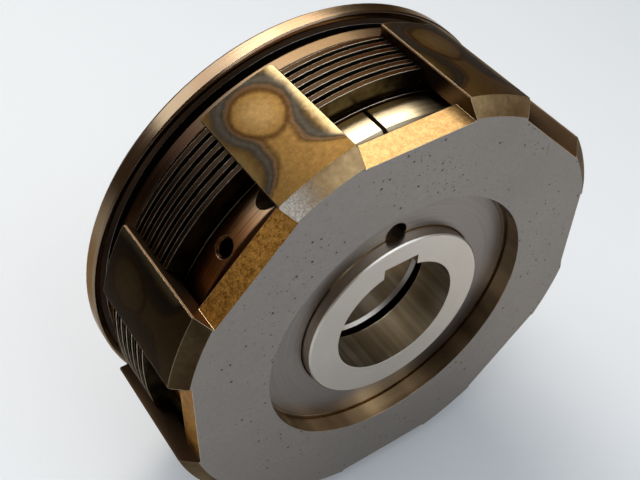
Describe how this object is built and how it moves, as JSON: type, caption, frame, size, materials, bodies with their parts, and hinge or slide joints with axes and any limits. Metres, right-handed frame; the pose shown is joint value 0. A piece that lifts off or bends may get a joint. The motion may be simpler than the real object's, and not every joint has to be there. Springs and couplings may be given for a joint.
{
  "type": "electromagnetic clutch",
  "caption": "Multi-disc electromagnetic clutch that couples two keyed shafts end to end, with a castellated driver bell, split adjusting nut and slip ring.",
  "frame": {"origin": "centre of the bore mouth on the front hub's face", "axes": "+Y along the shaft axis from the driver towards the coil, +Z towards the keyways"},
  "size_m": [0.1258, 0.06, 0.1258],
  "materials": {
    "driver_steel": "machined steel with golden heat tints",
    "hub_steel": "turned steel",
    "ground_steel": "fine turned steel",
    "pot_steel": "dark turned steel",
    "ring_steel": "polished running track",
    "nut_steel": "brushed steel",
    "screw_steel": "black oxide",
    "spring_steel": "dark spring steel",
    "outer_disc_steel": "stamped steel with olive faces",
    "inner_disc_steel": "stamped steel",
    "cover_brass": "turned brass",
    "copper_wire": "enamelled copper",
    "former_plastic": "glass-filled plastic",
    "insulator_plastic": "dark brown phenolic"
  },
  "bodies": {
    "inner_half": {"inner_body": "hub_steel", "end_plate": "ground_steel", "magnet_body": "pot_steel", "magnet_key": "hub_steel", "coil_former": "former_plastic", "coil_winding": "copper_wire", "coil_cover_ring": "cover_brass", "slip_ring": "ring_steel", "slip_ring_insulator": "insulator_plastic", "terminal_pin": "cover_brass", "terminal_bush": "insulator_plastic", "return_springs": "spring_steel", "retaining_ring": "spring_steel", "earth_screw": "cover_brass"},
    "driver_half": {"driver": "driver_steel", "front_hub": "hub_steel"},
    "armature_unit": {"armature": "pot_steel", "pull_pins": "hub_steel", "nut_carrier": "hub_steel"},
    "nut_unit": {"adjusting_nut": "nut_steel"},
    "clamp_screw_unit": {"clamp_screw": "screw_steel"},
    "inner_disc_1_body": {"inner_disc_1": "inner_disc_steel"},
    "inner_disc_2_body": {"inner_disc_2": "inner_disc_steel"},
    "inner_disc_3_body": {"inner_disc_3": "inner_disc_steel"},
    "inner_disc_4_body": {"inner_disc_4": "inner_disc_steel"},
    "inner_disc_5_body": {"inner_disc_5": "inner_disc_steel"},
    "inner_disc_6_body": {"inner_disc_6": "inner_disc_steel"},
    "inner_disc_7_body": {"inner_disc_7": "inner_disc_steel"},
    "outer_disc_1_body": {"outer_disc_1": "outer_disc_steel"},
    "outer_disc_2_body": {"outer_disc_2": "outer_disc_steel"},
    "outer_disc_3_body": {"outer_disc_3": "outer_disc_steel"},
    "outer_disc_4_body": {"outer_disc_4": "outer_disc_steel"},
    "outer_disc_5_body": {"outer_disc_5": "outer_disc_steel"},
    "outer_disc_6_body": {"outer_disc_6": "outer_disc_steel"}
  },
  "joints": [
    {"name": "driver_spin", "type": "hinge", "parent": "inner_half", "child": "driver_half", "pos_m": [0, 0, 0], "axis": [0, 1, 0], "continuous": true},
    {"name": "armature_pull", "type": "slide", "parent": "inner_half", "child": "armature_unit", "axis": [0, 1, 0], "range_m": [0, 0.00072]},
    {"name": "nut_turn", "type": "hinge", "parent": "armature_unit", "child": "nut_unit", "pos_m": [0, 0.01155, 0], "axis": [0, 1, 0], "range_deg": [-45, 45]},
    {"name": "clamp_screw_turn", "type": "hinge", "parent": "nut_unit", "child": "clamp_screw_unit", "pos_m": [-0.00193, 0.01155, 0.05016], "axis": [0.9993, 0, 0.0384], "range_deg": [0, 360]},
    {"name": "inner_disc_1_slide", "type": "slide", "parent": "inner_half", "child": "inner_disc_1_body", "axis": [0, 1, 0], "range_m": [0, 0.00072]},
    {"name": "inner_disc_2_slide", "type": "slide", "parent": "inner_half", "child": "inner_disc_2_body", "axis": [0, 1, 0], "range_m": [0, 0.00072]},
    {"name": "inner_disc_3_slide", "type": "slide", "parent": "inner_half", "child": "inner_disc_3_body", "axis": [0, 1, 0], "range_m": [0, 0.00072]},
    {"name": "inner_disc_4_slide", "type": "slide", "parent": "inner_half", "child": "inner_disc_4_body", "axis": [0, 1, 0], "range_m": [0, 0.00072]},
    {"name": "inner_disc_5_slide", "type": "slide", "parent": "inner_half", "child": "inner_disc_5_body", "axis": [0, 1, 0], "range_m": [0, 0.00072]},
    {"name": "inner_disc_6_slide", "type": "slide", "parent": "inner_half", "child": "inner_disc_6_body", "axis": [0, 1, 0], "range_m": [0, 0.00072]},
    {"name": "inner_disc_7_slide", "type": "slide", "parent": "inner_half", "child": "inner_disc_7_body", "axis": [0, 1, 0], "range_m": [0, 0.00072]},
    {"name": "outer_disc_1_slide", "type": "slide", "parent": "driver_half", "child": "outer_disc_1_body", "axis": [0, 1, 0], "range_m": [0, 0.00072]},
    {"name": "outer_disc_2_slide", "type": "slide", "parent": "driver_half", "child": "outer_disc_2_body", "axis": [0, 1, 0], "range_m": [0, 0.00072]},
    {"name": "outer_disc_3_slide", "type": "slide", "parent": "driver_half", "child": "outer_disc_3_body", "axis": [0, 1, 0], "range_m": [0, 0.00072]},
    {"name": "outer_disc_4_slide", "type": "slide", "parent": "driver_half", "child": "outer_disc_4_body", "axis": [0, 1, 0], "range_m": [0, 0.00072]},
    {"name": "outer_disc_5_slide", "type": "slide", "parent": "driver_half", "child": "outer_disc_5_body", "axis": [0, 1, 0], "range_m": [0, 0.00072]},
    {"name": "outer_disc_6_slide", "type": "slide", "parent": "driver_half", "child": "outer_disc_6_body", "axis": [0, 1, 0], "range_m": [0, 0.00072]}
  ],
  "couplings": [
    {"joint": "inner_disc_1_slide", "follows": "armature_pull", "ratio": 0.92857},
    {"joint": "inner_disc_2_slide", "follows": "armature_pull", "ratio": 0.78571},
    {"joint": "inner_disc_3_slide", "follows": "armature_pull", "ratio": 0.64286},
    {"joint": "inner_disc_4_slide", "follows": "armature_pull", "ratio": 0.5},
    {"joint": "inner_disc_5_slide", "follows": "armature_pull", "ratio": 0.35714},
    {"joint": "inner_disc_6_slide", "follows": "armature_pull", "ratio": 0.21429},
    {"joint": "inner_disc_7_slide", "follows": "armature_pull", "ratio": 0.071429},
    {"joint": "outer_disc_1_slide", "follows": "armature_pull", "ratio": 0.85714},
    {"joint": "outer_disc_2_slide", "follows": "armature_pull", "ratio": 0.71429},
    {"joint": "outer_disc_3_slide", "follows": "armature_pull", "ratio": 0.57143},
    {"joint": "outer_disc_4_slide", "follows": "armature_pull", "ratio": 0.42857},
    {"joint": "outer_disc_5_slide", "follows": "armature_pull", "ratio": 0.28571},
    {"joint": "outer_disc_6_slide", "follows": "armature_pull", "ratio": 0.14286}
  ]
}
